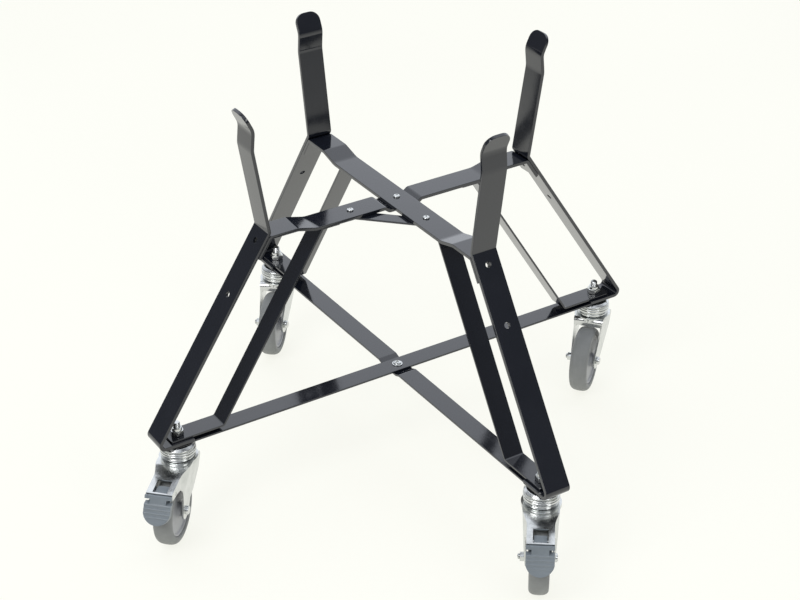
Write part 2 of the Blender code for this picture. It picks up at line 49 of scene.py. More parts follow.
# ---- sizes, millimetres; heights are above the floor ----
GAP = 0.3
TYRE_W = 27.0
TRAIL = 38.4                    # the axle, forward of the stem
STEM_R = 355.6                  # the stems, out from the stand's middle
STEM_D = 10.0
STEM_TOP = 167.0
CASTER_TOP = 135.7
WIDE = (38.0, 5.0)
NARROW = (30.0, 3.0)
BOTTOM_BAR_Z = CASTER_TOP + GAP
TAB_Z = BOTTOM_BAR_Z + NARROW[1] + GAP
FOOT_Z = TAB_Z + WIDE[1] + GAP
NUT_Z = FOOT_Z + NARROW[1] + GAP
TOP_BAR_Z = 411.4
AXLE_Z = 50.0
FORK_TOP = 114.0
RACE_SPLIT = 125.8
LEG_SLOPE = 0.655               # how far an outer leg goes out for each mm of drop
CREASE = (212.5, 424.2)         # where an outer leg turns upright, out and up
HOLE_D = 8.0                    # the free holes in the outer legs
BOLT_D = 6.0
STRAP = (20.0, 3.0)
STRAP_BOLT = 52.9               # its screws, out from the middle both ways
RIVET_D = 14.0                  # the stem's thick lower end, through the race and fork
AXLE_D = 8.0
PIN_D = 4.0
PIVOT = (70.0, 99.5)            # the pedal's pin, forward and up
LIP = 85.0                      # where the braked forks' hood ends
SHEET = 2.5                     # the forks' metal
AXLE_EYE = 13.0                 # radius of the forks' lower ends
CROWN_R = 27.2                  # the round shoulder under the race
CROWN_H = 5.5
BAR_EDGE = 0.7                  # rounding of the flat bars' edges
SHEET_EDGE = 0.9                # and of the pressed forks'
SMALL_NUT = (10.0, 5.0)         # across the flats, and height
AXLE_NUT = (12.0, 6.0)
LOCK_NUT = (17.0, 11.5)
COLLAR = 4.0                    # the round part of a lock nut's height
LEAN_PLAY = 0.8                 # keeps the axle's head and nut off the leaning side plates
HOLE_TILT = math.degrees(math.atan2(1.0, LEG_SLOPE))


def stem_place(tag):
    """Where a caster's stem stands on the floor, in metres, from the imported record."""
    x, y, _ = JOINTS["swivel_turn_" + tag]["pos_m"]
    return Vector((x, y, 0.0))


def caster_matrix(tag):
    """The caster's own frame: x forward from the stem to the axle, z up."""
    stem = stem_place(tag)
    x, y, _ = JOINTS["wheel_spin_" + tag]["pos_m"]
    heading = math.atan2(y - stem.y, x - stem.x)
    return Matrix.Translation(stem) @ Matrix.Rotation(heading, 4, "Z")


CENTRE = sum((stem_place(tag) for tag in CORNERS), Vector()) / len(CORNERS)
CENTRE_M = Matrix.Translation(CENTRE)
IDENTITY = Matrix.Identity(4)


# ---- materials ----
class Nodes:
    """A small helper for building one material's node tree."""

    def __init__(self, name):
        self.mat = bpy.data.materials.new(name)
        self.mat.use_nodes = True
        self.tree = self.mat.node_tree
        self.shader = self.tree.nodes["Principled BSDF"]
        coords = self.tree.nodes.new("ShaderNodeTexCoord")
        self.place = coords.outputs["Object"]

    def set(self, **values):
        for key, value in values.items():
            self.shader.inputs[key.replace("_", " ")].default_value = value

    def noise(self, scale, detail=3.0, rough=0.55, stretch=None):
        node = self.tree.nodes.new("ShaderNodeTexNoise")
        node.inputs["Scale"].default_value = scale
        node.inputs["Detail"].default_value = detail
        node.inputs["Roughness"].default_value = rough
        source = self.place
        if stretch is not None:
            mapping = self.tree.nodes.new("ShaderNodeMapping")
            mapping.inputs["Scale"].default_value = stretch
            self.tree.links.new(source, mapping.inputs["Vector"])
            source = mapping.outputs["Vector"]
        self.tree.links.new(source, node.inputs["Vector"])
        return node.outputs["Fac"]

    def ramp(self, source, stops):
        node = self.tree.nodes.new("ShaderNodeValToRGB")
        self.tree.links.new(source, node.inputs["Fac"])
        elements = node.color_ramp.elements
        while len(elements) < len(stops):
            elements.new(0.5)
        for element, (position, colour) in zip(elements, stops):
            element.position = position
            element.color = (*colour, 1.0) if len(colour) == 3 else colour
        return node.outputs["Color"]

    def grey_ramp(self, source, stops):
        return self.ramp(source, [(at, (v, v, v)) for at, v in stops])

    def link(self, source, socket):
        self.tree.links.new(source, self.shader.inputs[socket])

    def bump(self, *layers):
        """Stack bumps: each layer is (height source, strength, distance in metres)."""
        normal = None
        for height, strength, distance in layers:
            node = self.tree.nodes.new("ShaderNodeBump")
            node.inputs["Strength"].default_value = strength
            node.inputs["Distance"].default_value = distance
            self.tree.links.new(height, node.inputs["Height"])
            if normal is not None:
                self.tree.links.new(normal, node.inputs["Normal"])
            normal = node.outputs["Normal"]
        self.link(normal, "Normal")


def paint_material():
    """Gloss black powder coat: deep, faintly uneven, with a soft orange-peel."""
    n = Nodes("gloss_black_paint")
    cloud = n.noise(14.0, 4.0)
    n.link(n.ramp(cloud, [(0.3, (0.0055, 0.0070, 0.0120)), (0.7, (0.0085, 0.0100, 0.0155))]),
           "Base Color")
    smear = n.noise(38.0, 5.0, 0.6)
    n.link(n.grey_ramp(smear, [(0.35, 0.09), (0.7, 0.15)]), "Roughness")
    n.set(IOR=1.62, Coat_Weight=0.25, Coat_Roughness=0.08, Coat_IOR=1.5)
    n.bump((n.noise(26.0, 2.0), 0.06, 0.0010), (n.noise(420.0, 2.0), 0.08, 0.0001))
    return n.mat


def zinc_material(name="bright_zinc_plate", low=0.10, high=0.22):
    """Bright zinc plate on pressed steel: mirror-like with cloudy patches and fine draw lines."""
    n = Nodes(name)
    cloud = n.noise(55.0, 4.0)
    n.link(n.ramp(cloud, [(0.3, (0.58, 0.595, 0.585)), (0.7, (0.69, 0.70, 0.695))]), "Base Color")
    n.link(n.grey_ramp(n.noise(160.0, 4.0), [(0.35, low), (0.7, high)]), "Roughness")
    n.set(Metallic=1.0)
    draw = n.noise(700.0, 2.0, stretch=(1.0, 1.0, 0.12))
    n.bump((n.noise(45.0, 2.0), 0.05, 0.0010), (draw, 0.08, 0.00005))
    return n.mat


def rubber_material():
    """Grey non-marking rubber, matt, with a dusty cast and moulding speckle."""
    n = Nodes("grey_rubber")
    cloud = n.noise(45.0, 5.0, 0.65)
    n.link(n.ramp(cloud, [(0.25, (0.200, 0.208, 0.205)), (0.75, (0.250, 0.258, 0.256))]),
           "Base Color")
    n.link(n.grey_ramp(n.noise(120.0, 3.0), [(0.3, 0.48), (0.7, 0.62)]), "Roughness")
    n.bump((n.noise(900.0, 3.0), 0.20, 0.0001), (n.noise(90.0, 3.0), 0.06, 0.0004))
    return n.mat


def plastic_material(name, dark, light, low, high):
    """Moulded plastic with a faint satin grain."""
    n = Nodes(name)
    n.link(n.ramp(n.noise(30.0, 4.0), [(0.3, dark), (0.7, light)]), "Base Color")
    n.link(n.grey_ramp(n.noise(200.0, 3.0), [(0.3, low), (0.7, high)]), "Roughness")
    n.bump((n.noise(1400.0, 2.0), 0.15, 0.00008),)
    return n.mat


PAINT = paint_material()
ZINC = zinc_material()
SHEET_ZINC = zinc_material("bright_zinc_sheet", 0.17, 0.27)
HARDWARE = zinc_material("zinc_plated_hardware", 0.16, 0.30)
RUBBER = rubber_material()
HUB = plastic_material("grey_hub_plastic", (0.335, 0.343, 0.360), (0.390, 0.398, 0.415),
                       0.32, 0.42)
PEDAL = plastic_material("blue_grey_pedal_plastic", (0.176, 0.202, 0.224), (0.208, 0.236, 0.258),
                         0.30, 0.42)


# ---- making pieces ----
def mesh_from(bm, name):
    for vert in bm.verts:
        vert.co *= MM
    mesh = bpy.data.meshes.new(name)
    bm.to_mesh(mesh)
    bm.free()
    return mesh


def work_object(name, mesh, matrix=IDENTITY):
    """An object used while shaping; settle() or discard() ends it."""
    obj = bpy.data.objects.new(name, mesh)
    bpy.context.scene.collection.objects.link(obj)
    obj.matrix_world = matrix
    return obj


def discard(*objects):
    for obj in objects:
        mesh = obj.data
        bpy.data.objects.remove(obj, do_unlink=True)
        if mesh.users == 0:
            bpy.data.meshes.remove(mesh)


def boolean(obj, cutter, operation="DIFFERENCE"):
    """Cut a shape, or join it, with another one, which is handed back."""
    mod = obj.modifiers.new("cut", "BOOLEAN")
    mod.operation = operation
    mod.solver = "EXACT"
    mod.object = cutter
    return cutter


def bevel(obj, width, segments=2, angle=35.0):
    mod = obj.modifiers.new("edges", "BEVEL")
    mod.width = width * MM
    mod.segments = segments
    mod.limit_method = "ANGLE"
    mod.angle_limit = math.radians(angle)
    mod.harden_normals = False
    return mod


def baked(obj):
    """The object's shape with its modifiers, as a mesh of its own."""
    bpy.context.view_layer.update()
    graph = bpy.context.evaluated_depsgraph_get()
    return bpy.data.meshes.new_from_object(obj.evaluated_get(graph))


def settle(name, obj, cutters, matrix, body, material, nodes, smooth=32.0):
    """Bake the modifiers and the place into the mesh, and hand the piece to the frame."""
    rough = baked(obj)
    rough.transform(matrix @ obj.matrix_world)
    rough.shade_smooth()
    rough.set_sharp_from_angle(angle=math.radians(smooth))
    discard(obj, *cutters)
    shaded = work_object(name + "_shading", rough)
    even = shaded.modifiers.new("even_flats", "WEIGHTED_NORMAL")
    even.mode = "FACE_AREA"
    even.keep_sharp = True
    mesh = baked(shaded)
    discard(shaded)
    mesh.name = name
    mesh.materials.clear()
    mesh.materials.append(material)
    piece = bpy.data.objects.new(name, mesh)
    bpy.context.scene.collection.objects.link(piece)
    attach(piece, body)
    if nodes:
        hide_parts(*nodes)
    return piece


def cylinder(name, diameter, length, matrix, sides=40):
    bm = bmesh.new()
    bmesh.ops.create_cone(bm, cap_ends=True, segments=sides, radius1=diameter / 2.0,
                          radius2=diameter / 2.0, depth=length)
    return work_object(name, mesh_from(bm, name), matrix)


def box(name, low, high, matrix=IDENTITY):
    bm = bmesh.new()
    bmesh.ops.create_cube(bm, size=1.0)
    centre = (Vector(low) + Vector(high)) / 2.0
    size = Vector([abs(b - a) for a, b in zip(low, high)])
    for vert in bm.verts:
        vert.co = Vector((vert.co.x * size.x, vert.co.y * size.y, vert.co.z * size.z)) + centre
    return work_object(name, mesh_from(bm, name), matrix)


def at(x, y, z):
    return Matrix.Translation(Vector((x, y, z)) * MM)


def turn(degrees, axis):
    return Matrix.Rotation(math.radians(degrees), 4, axis)


# ---- bent flat bars ----
def bend_points(corner, before, after, radius, step):
    """Points along a bend between two straight runs, one for every few degrees."""
    angle = math.pi - before.angle(after)
    reach = radius * math.tan(angle / 2.0)
    start = corner + before * reach
    end = corner + after * reach
    centre = corner + (before + after).normalized() * (radius / math.cos(angle / 2.0))
    count = max(2, int(math.degrees(angle) / step + 0.5))
    first = start - centre
    sweep = -first.angle_signed(end - centre)
    points = []
    for k in range(count + 1):
        a = sweep * k / count
        points.append(centre + Vector((first.x * math.cos(a) - first.y * math.sin(a),
                                       first.x * math.sin(a) + first.y * math.cos(a))))
    return points


def rounded_path(corners, step=5.0):
    """A line through (out, up, bend radius) corners, with its bends rounded."""
    points = []
    for index, (r, z, radius) in enumerate(corners):
        here = Vector((r, z))
        if index in (0, len(corners) - 1) or radius <= 0.0:
            points.append(here)
            continue
        before = (Vector(corners[index - 1][:2]) - here).normalized()
        after = (Vector(corners[index + 1][:2]) - here).normalized()
        points.extend(bend_points(here, before, after, radius, step))
    return points


def ribbon(points, width, side, round_start, round_end):
    """A strip along a line, facing left (1) or right (-1) of it, with rounded ends."""
    bm = bmesh.new()
    row = [bm.verts.new((p.x, p.y, -width / 2.0)) for p in points]
    edges = [bm.edges.new((row[k], row[k + 1])) for k in range(len(row) - 1)]
    grown = bmesh.ops.extrude_edge_only(bm, edges=edges)["geom"]
    moved = [g for g in grown if isinstance(g, bmesh.types.BMVert)]
    bmesh.ops.translate(bm, verts=moved, vec=(0, 0, width))
    bm.normal_update()
    run = points[1] - points[0]
    left = Vector((-run.y, run.x, 0.0))
    if row[0].link_faces[0].normal.dot(left) * side < 0.0:
        bmesh.ops.reverse_faces(bm, faces=bm.faces)
    for radius, end in ((round_start, points[0]), (round_end, points[-1])):
        if radius > 0.0:
            tip = [v for v in bm.verts if (v.co.xy - end).length < 0.01]
            bmesh.ops.bevel(bm, geom=tip, offset=radius, segments=8, profile=0.5,
                            affect="VERTICES", clamp_overlap=True)
    return bm


def bar_object(name, corners, size, angle, round_start=0.0, round_end=0.0):
    """A flat bar in the upright plane of a corner; its line is the outer or upper face."""
    width, thickness = size
    bm = ribbon(rounded_path(corners), width, -1, round_start, round_end)
    obj = work_object(name, mesh_from(bm, name), turn(angle, "Z") @ turn(90.0, "X"))
    solid = obj.modifiers.new("thickness", "SOLIDIFY")
    solid.thickness = thickness * MM
    solid.offset = 1.0
    solid.use_even_offset = True
    return obj


def leg_r(z):
    """How far out an outer leg's upper face is at a height."""
    return CREASE[0] + LEG_SLOPE * (CREASE[1] - z)


def offset_r(z, inward):
    """The same, a distance in from that face."""
    return leg_r(z) - inward * math.hypot(1.0, LEG_SLOPE)


def leg_hole(angle, z):
    """Cutter for a hole square to a leg's slope."""
    place = turn(angle, "Z") @ at(leg_r(z) - 4.0, 0.0, z - 4.0 * LEG_SLOPE)
    return cylinder("hole", HOLE_D, 24.0, place @ turn(HOLE_TILT, "Y"))


def stem_hole(angle, z):
    return cylinder("hole", STEM_D + 2 * GAP, 24.0, turn(angle, "Z") @ at(STEM_R, 0.0, z))


def finish_bar(name, obj, cutters):
    for cutter in cutters:
        boolean(obj, cutter)
    bevel(obj, BAR_EDGE)
    return settle(name + "_painted", obj, cutters, CENTRE_M, "frame", PAINT, [name])


def outer_leg(tag, angle):
    line = [(242.0, 600.0, 0.0), (230.0, 575.0, 18.0), (232.5, 548.0, 30.0),
            (CREASE[0], CREASE[1], 3.0), (leg_r(TAB_Z), TAB_Z, 9.5), (338.0, TAB_Z, 0.0)]
    name = "outer_leg_" + tag
    obj = bar_object(name, line, WIDE, angle, 14.5, 2.0)
    finish_bar(name, obj, [leg_hole(angle, 409.0), leg_hole(angle, 340.0),
                           stem_hole(angle, TAB_Z)])


def inner_leg(tag, angle):
    top = TOP_BAR_Z - WIDE[1] - GAP
    crease_z = FOOT_Z + NARROW[1]
    line = [(100.0, top, 0.0), (127.4, top, 5.0), (291.8, crease_z, 3.5), (371.0, crease_z, 0.0)]
    name = "inner_leg_" + tag
    obj = bar_object(name, line, NARROW, angle, 0.0, 2.0)
    finish_bar(name, obj, [stem_hole(angle, FOOT_Z)])


def mirrored(half):
    """A cross bar's line from tip to tip, from its half."""
    return [(-r, z, bend) for r, z, bend in reversed(half)] + list(half)


def top_bar(name, angle, joggle, strap_side):
    z = TOP_BAR_Z
    face = WIDE[1] + GAP
    half = [(137.0, z, 30.0), (166.0, 419.0, 14.0), (offset_r(419.0, face), 419.0, 6.0),
            (offset_r(389.7, face), 389.7, 0.0)]
    if joggle > 0.0:
        half = [(21.5, z - joggle, 3.0), (28.5, z, 6.0)] + half
    obj = bar_object(name, mirrored(half), WIDE, angle)
    strap = at(strap_side * STRAP_BOLT, -STRAP_BOLT, z - 5.0)
    cutters = [leg_hole(angle, 409.0), leg_hole(angle + 180.0, 409.0),
               cylinder("hole", BOLT_D + 2 * GAP, 30.0, at(0.0, 0.0, z - 5.0)),
               cylinder("hole", BOLT_D + 2 * GAP, 30.0, strap)]
    finish_bar(name, obj, cutters)


def bottom_bar(name, angle, joggle):
    z = BOTTOM_BAR_Z + NARROW[1]
    half = [(370.0, z, 0.0)]
    if joggle > 0.0:
        half = [(18.0, z - joggle, 3.0), (26.5, z, 5.0)] + half
    obj = bar_object(name, mirrored(half), NARROW, angle, 2.0, 2.0)
    cutters = [stem_hole(angle, z), stem_hole(angle + 180.0, z),
               cylinder("hole", BOLT_D + 2 * GAP, 30.0, at(0.0, 0.0, z - 3.0))]
    finish_bar(name, obj, cutters)


def lock_strap():
    top = TOP_BAR_Z - WIDE[1] - GAP
    obj = bar_object("lock_strap", [(-66.0, top, 0.0), (66.0, top, 0.0)], STRAP, 0.0, 9.0, 9.0)
    obj.matrix_world = at(0.0, -STRAP_BOLT, 0.0) @ turn(90.0, "X")
    cutters = [cylinder("hole", BOLT_D + 2 * GAP, 12.0, at(s * STRAP_BOLT, -STRAP_BOLT, top))
               for s in (-1.0, 1.0)]
    finish_bar("lock_strap", obj, cutters)


# ---- turned pieces and nuts ----
def turned_object(name, profile, sides, matrix=IDENTITY):
    """Turn (radius, height) points, listed from top to bottom on the outside, about Z."""
    bm = bmesh.new()
    verts = [bm.verts.new((radius, 0.0, height)) for radius, height in profile]
    for k in range(len(verts) - 1):
        bm.edges.new((verts[k], verts[k + 1]))
    if profile[0][0] > 0.001:
        bm.edges.new((verts[-1], verts[0]))
    obj = work_object(name, mesh_from(bm, name), matrix)
    screw = obj.modifiers.new("turn", "SCREW")
    screw.angle = math.radians(360.0)
    screw.steps = sides
    screw.render_steps = sides
    screw.use_merge_vertices = True
    screw.merge_threshold = 0.000005
    return obj


def curve(points, corner=0.6, steps=4):
    """Round the inner corners of a turned profile by a small radius."""
    out = [points[0]]
    for k in range(1, len(points) - 1):
        here = Vector(points[k])
        a = Vector(points[k - 1]) - here
        b = Vector(points[k + 1]) - here
        reach = min(corner, a.length * 0.4, b.length * 0.4)
        start = here + a.normalized() * reach
        end = here + b.normalized() * reach
        for s in range(steps + 1):
            t = s / steps
            p = start * (1 - t) ** 2 + here * 2 * t * (1 - t) + end * t ** 2
            out.append((p.x, p.y))
    out.append(points[-1])
    return out


def dome(radius, rise, start, count=7):
    """Profile of a low domed head, from its middle down to its rim."""
    points = []
    for k in range(count + 1):
        a = math.pi / 2 * k / count
        points.append((radius * math.sin(a), start + rise * math.cos(a)))
    return points


def thread(radius, top, bottom, pitch=1.25):
    """Profile of a threaded length as fine rings, from its chamfered end down."""
    points = [(0.0, top), (radius - 1.0, top), (radius - 0.1, top - 1.0)]
    z = top - 1.0
    while z - pitch > bottom:
        points += [(radius, z - 0.25 * pitch), (radius - 0.55, z - 0.62 * pitch),
                   (radius - 0.05, z - pitch)]
        z -= pitch
    return points


def strap_screw(name, x, y, shank_end):
    z = TOP_BAR_Z + GAP
    line = dome(4.75, 2.2, z + 0.7) + [(4.75, z), (BOLT_D / 2, z), (BOLT_D / 2, shank_end),
                                       (0.0, shank_end)]
    obj = turned_object(name, line, 40, at(x, y, 0.0))
    socket = cylinder("socket", 3.4, 3.0, at(x, y, z + 3.2), 6)
    boolean(obj, socket)
    bevel(obj, 0.15, 2, 50.0)
    settle(name + "_fine", obj, [socket], CENTRE_M, "frame", HARDWARE, [name])


def lower_screw():
    z = BOTTOM_BAR_Z + NARROW[1] + GAP
    end = BOTTOM_BAR_Z - NARROW[1] - GAP - 6.5
    line = dome(6.0, 3.0, z + 0.9) + [(6.1, z + 0.9), (7.5, z + 0.8), (7.5, z),
                                      (BOLT_D / 2, z), (BOLT_D / 2, end), (0.0, end)]
    obj = turned_object("lower_screw", line, 48)
    socket = cylinder("socket", 4.6, 5.0, at(0.0, 0.0, z + 4.4), 6)
    boolean(obj, socket)
    bevel(obj, 0.15, 2, 50.0)
    settle("lower_screw_fine", obj, [socket], CENTRE_M, "frame", HARDWARE, ["lower_screw"])


def hex_nut(name, size, bore, place, body, collar=0.0):
    """Hexagon nut with chamfered corners, and for a lock nut a round collar on top."""
    across_flats, height = size
    radius = across_flats / 2.0 / math.cos(math.radians(30.0))
    obj = cylinder(name, 2 * radius, height, at(0, 0, height / 2.0), 6)
    edge = across_flats / 2.0
    drop = (radius - edge) * 0.62
    shoulder_z = height - collar
    shape = [(edge - 0.1, shoulder_z), (radius + 0.1, shoulder_z - drop),
             (radius + 0.1, drop), (edge - 0.1, 0.0), (0.0, 0.0)]
    if collar > 0.0:
        rim = edge - 1.0
        shape = [(rim - 1.4, height), (rim - 0.4, height - 0.4), (rim, height - 1.4),
                 (rim, shoulder_z)] + shape
    shape = [(0.0, height)] + shape
    round_off = turned_object("chamfer", shape, 48)
    hole = cylinder("bore", bore, height * 3.0, at(0, 0, height / 2.0))
    boolean(obj, round_off, "INTERSECT")
    boolean(obj, hole)
    bevel(obj, 0.22, 2, 40.0)
    settle(name + "_fine", obj, [round_off, hole], place, body, HARDWARE, [name])


def frame_hardware():
    under = TOP_BAR_Z - 2 * WIDE[1] - GAP
    strap_under = TOP_BAR_Z - WIDE[1] - GAP - STRAP[1]
    lower_under = BOTTOM_BAR_Z - NARROW[1] - GAP
    strap_screw("cross_screw", 0.0, 0.0, under - 6.5)
    spots = [("cross_nut", 0.0, 0.0, under), ("lower_nut", 0.0, 0.0, lower_under)]
    for sign, side in ((-1.0, "left"), (1.0, "right")):
        x = sign * STRAP_BOLT
        strap_screw("strap_screw_" + side, x, -STRAP_BOLT, strap_under - 6.5)
        spots.append(("strap_nut_" + side, x, -STRAP_BOLT, strap_under))
    for name, x, y, z in spots:
        place = CENTRE_M @ at(x, y, z - SMALL_NUT[1] - GAP)
        hex_nut(name, SMALL_NUT, BOLT_D + GAP, place, "frame")
    lower_screw()


# ---- casters ----
def fork_half_width(x, z):
    """A plain fork's side plates lean in towards the axle."""
    return 24.2 - 0.067 * x - 0.035 * (FORK_TOP - z)


HOOD_HALF = 18.4
HOOD_START = (20.0, 28.0)       # where the legs begin to step in to the hood, and over how much
HOOD_LEAN = 0.85                # how far forward that step moves for each mm of drop


def step_in(x, z):
    """0 on the legs of a braked fork, 1 on its narrower hood, with a smooth step between."""
    start, reach = HOOD_START
    t = (x - start - (FORK_TOP - z) * HOOD_LEAN) / reach
    t = min(1.0, max(0.0, t))
    return t * t * (3.0 - 2.0 * t)


def braked_half_width(x, z):
    leg = 24.8 - 0.078 * (FORK_TOP - z)
    return leg + (HOOD_HALF - leg) * step_in(x, z)


def prism(points, half, creases=()):
    """A side outline in the x-z plane, spread to half widths given by a rule."""
    bm = bmesh.new()
    verts = [bm.verts.new((x, -1.0, z)) for x, z in points]
    face = bm.faces.new(verts)
    grown = bmesh.ops.extrude_face_region(bm, geom=[face])["geom"]
    moved = [g for g in grown if isinstance(g, bmesh.types.BMVert)]
    bmesh.ops.translate(bm, verts=moved, vec=(0, 2.0, 0))
    for place, across_line in creases:
        everything = bm.verts[:] + bm.edges[:] + bm.faces[:]
        bmesh.ops.bisect_plane(bm, geom=everything, plane_co=place, plane_no=across_line)
    for vert in bm.verts:
        vert.co.y *= half(vert.co.x, vert.co.z)
    bmesh.ops.recalc_face_normals(bm, faces=bm.faces)
    return bm


def hood_creases(count=6):
    """Cuts along the step between a braked fork's legs and its hood."""
    start, reach = HOOD_START
    across_line = (1.0, 0.0, HOOD_LEAN)
    return [((start + reach * k / count, 0.0, FORK_TOP), across_line) for k in range(count + 1)]


def arc(cx, cz, radius, start, end, count):
    """Points on an arc in a side view, between two angles in degrees."""
    return [(cx + radius * math.cos(math.radians(start + (end - start) * k / count)),
             cz + radius * math.sin(math.radians(start + (end - start) * k / count)))
            for k in range(count + 1)]


def shoulder(radius=9.0):
    """The rounded upper rear corner of a fork's side."""
    return arc(radius - 20.0, FORK_TOP - radius, radius, 90.0, 180.0, 8)


def plain_outline():
    eye = arc(TRAIL, AXLE_Z, AXLE_EYE, 205.0, 370.0, 24)
    roll = arc(20.0, FORK_TOP - 7.5, 7.5, 0.0, 90.0, 8)
    return shoulder() + [(-15.0, 90.0), (6.0, 66.0)] + eye + [(48.0, 66.0), (27.5, 98.0)] + roll


def braked_outline():
    eye = arc(TRAIL, AXLE_Z, AXLE_EYE, 200.0, 360.0, 24)
    return [(26.0, FORK_TOP)] + shoulder() + [(-15.0, 88.0), (8.0, 66.0), (22.0, 60.0)] + eye + [
        (51.4, 90.0), (55.0, 94.5), (LIP, 97.0), (LIP, 107.0)]


def across(x, z):
    """Places a turned shape on an axis across the wheel."""
    return at(x, 0.0, z) @ turn(90.0, "X")


def fork_bores():
    return [cylinder("rivet_hole", RIVET_D + 2 * GAP, 12.0, at(0, 0, FORK_TOP)),
            cylinder("axle_hole", AXLE_D + 2 * GAP, 80.0, across(TRAIL, AXLE_Z))]


def crown_disc(obj):
    """Join the round shoulder under the race to a fork."""
    disc = cylinder("crown", 2 * CROWN_R, CROWN_H, at(0, 0, FORK_TOP - CROWN_H / 2.0), 96)
    return boolean(obj, disc, "UNION")


def plain_fork(tag, place):
    name = "fork_" + tag
    obj = work_object(name, mesh_from(prism(plain_outline(), fork_half_width), name))
    crown = crown_disc(obj)
    inner = [(80.0, 101.5), (-40.0, 101.5), (-40.0, 20.0), (80.0, 20.0)]
    bm = prism(inner, lambda x, z: fork_half_width(x, z) - SHEET)
    top = [e for e in bm.edges if all(v.co.z > 100.0 for v in e.verts)
           and abs(e.verts[0].co.y - e.verts[1].co.y) < 8.0]
    bmesh.ops.bevel(bm, geom=top, offset=12.0, segments=10, profile=0.5, affect="EDGES")
    arch = work_object("arch", mesh_from(bm, "arch"))
    pocket = box("pocket", (-17.5, -20.4, 95.0), (21.5, 20.4, FORK_TOP - SHEET))
    cutters = [arch, pocket] + fork_bores()
    for cutter in cutters:
        boolean(obj, cutter)
    bevel(obj, SHEET_EDGE, 3, 40.0)
    settle(name + "_pressed", obj, [crown] + cutters, place, "swivel_" + tag, SHEET_ZINC, [name])


def braked_fork(tag, place):
    name = "fork_" + tag
    bm = prism(braked_outline(), braked_half_width, hood_creases())
    obj = work_object(name, mesh_from(bm, name))
    crown = crown_disc(obj)
    roof = FORK_TOP - SHEET
    inside = [(26.0, roof), (-17.5, roof), (-17.5, 100.0), (-40.0, 98.0), (-40.0, 20.0),
              (100.0, 20.0), (100.0, 102.7), (LIP, 104.5)]
    bm = prism(inside, lambda x, z: braked_half_width(x, z) - SHEET, hood_creases())
    hollow = work_object("inside", mesh_from(bm, "inside"))
    window = box("window", (57.0, -10.2, 95.0), (LIP - 2.5, 10.2, 120.0))
    pin = cylinder("pin", PIN_D + 2 * GAP, 80.0, across(*PIVOT))
    cutters = [hollow, window, pin] + fork_bores()
    for cutter in cutters:
        boolean(obj, cutter)
    bevel(obj, SHEET_EDGE, 3, 40.0)
    settle(name + "_pressed", obj, [crown] + cutters, place, "swivel_" + tag, SHEET_ZINC, [name])


def stem(tag, place):
    low = RACE_SPLIT + GAP
    end = FORK_TOP - SHEET - 2.0
    upper = thread(STEM_D / 2, STEM_TOP, NUT_Z - 1.0)
    plate = curve([(STEM_D / 2, CASTER_TOP), (20.4, CASTER_TOP), (24.2, 132.6), (24.6, 131.4),
                   (22.4, 130.4), (22.4, 129.6), (24.9, 128.6), (24.9, low), (RIVET_D / 2, low),
                   (RIVET_D / 2, end), (0.0, end)], 0.9)
    line = upper + [(STEM_D / 2, NUT_Z - 2.0)] + plate
    obj = turned_object("stem_" + tag, line, 64)
    settle("stem_" + tag + "_fine", obj, [], place, "frame", HARDWARE, ["stem_" + tag], 40.0)


def race(tag, place):
    bore = RIVET_D / 2 + GAP
    low = FORK_TOP + GAP
    line = curve([(bore, RACE_SPLIT), (23.6, RACE_SPLIT), (24.9, 124.8), (24.9, 121.8),
                  (22.6, 120.4), (22.6, 119.8), (24.0, 118.8), (24.0, 116.2), (22.0, low),
                  (bore, low)], 0.8)
    obj = turned_object("race_" + tag, line, 64)
    settle("race_" + tag + "_fine", obj, [], place, "swivel_" + tag, ZINC, ["race_" + tag], 40.0)


def axle(tag, place):
    half = fork_half_width(TRAIL, AXLE_Z) + LEAN_PLAY
    head = [(0.0, half + 4.0), (4.4, half + 4.0), (5.6, half + 3.4), (6.2, half + 2.2),
            (6.2, half), (AXLE_D / 2, half)]
    tail = [(r, -h) for r, h in reversed(thread(AXLE_D / 2, half + 9.0, half + 5.0))]
    axis = at(TRAIL, 0.0, AXLE_Z) @ turn(-90.0, "X")
    obj = turned_object("axle_" + tag, head + tail, 40, axis)
    settle("axle_" + tag + "_fine", obj, [], place, "swivel_" + tag, HARDWARE, ["axle_" + tag])
    nut_place = place @ at(TRAIL, -half, AXLE_Z) @ turn(90.0, "X")
    hex_nut("axle_nut_" + tag, AXLE_NUT, AXLE_D + GAP, nut_place, "swivel_" + tag)


def both_sides(half):
    """A turned profile and its mirror image."""
    return half + [(r, -h) for r, h in reversed(half)]


def hub(tag, place):
    bore = AXLE_D / 2 + GAP
    half = curve([(bore, 15.4), (8.4, 15.4), (9.5, 14.6), (10.4, 11.4), (13.0, 10.0),
                  (30.0, 8.9), (33.6, 9.0), (34.8, 10.8), (35.6, 11.2), (37.4, 11.2)], 0.7)
    obj = turned_object("hub_" + tag, both_sides(half), 96, across(TRAIL, AXLE_Z))
    settle("hub_" + tag + "_fine", obj, [], place, "wheel_" + tag, HUB, ["hub_" + tag], 40.0)


def tyre(tag, place):
    inner = 37.5 + GAP
    side = TYRE_W / 2.0
    half = [(inner, side - 2.3), (38.6, side - 0.9), (40.2, side - 0.1), (42.5, side),
            (44.2, side - 0.2)]
    for k in range(9):
        a = math.radians(10.0 + 80.0 * k / 8)
        half.append((43.8 + 6.0 * math.sin(a), side - 9.6 + 9.3 * math.cos(a)))
    half += [(49.93, 3.0), (50.0, 0.6)]
    obj = turned_object("tyre_" + tag, both_sides(half), 128, across(TRAIL, AXLE_Z))
    settle("tyre_" + tag + "_fine", obj, [], place, "wheel_" + tag, RUBBER, ["tyre_" + tag], 50.0)


TREAD_TOP = (98.5, 87.5)
TREAD_SLOPE = math.degrees(math.atan2(21.7, 14.3))
PEDAL_HALF = 18.9


